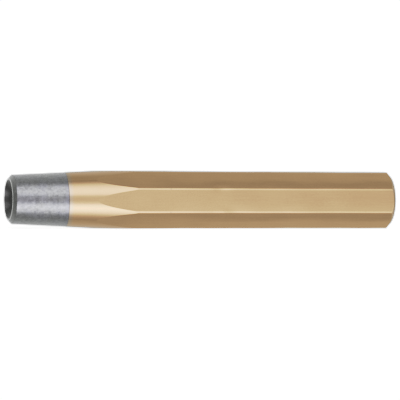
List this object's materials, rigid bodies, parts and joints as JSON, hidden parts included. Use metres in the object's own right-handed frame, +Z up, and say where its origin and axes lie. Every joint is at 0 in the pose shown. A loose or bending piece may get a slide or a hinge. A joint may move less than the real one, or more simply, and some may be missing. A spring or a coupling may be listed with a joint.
{
  "type": "rivet header punch",
  "caption": "Octagonal steel rivet header with a shallow round cup in its bright tapered nose, a gold lacquered shank and a flat struck end.",
  "frame": {"origin": "on the surface that the tool lies on, under the middle of its length and its width", "axes": "+X along the tool's axis from the cupped nose to the struck end, +Z up, at right angles to the flat that it lies on"},
  "size_m": [0.14, 0.02, 0.02],
  "materials": {
    "ground_steel": "bright turned and ground steel with fine marks round the nose",
    "gold_lacquer": "satin metallic gold lacquer with fine flake"
  },
  "bodies": {
    "root": {"tool_body": "ground_steel", "lacquer_coat": "gold_lacquer"}
  },
  "joints": []
}
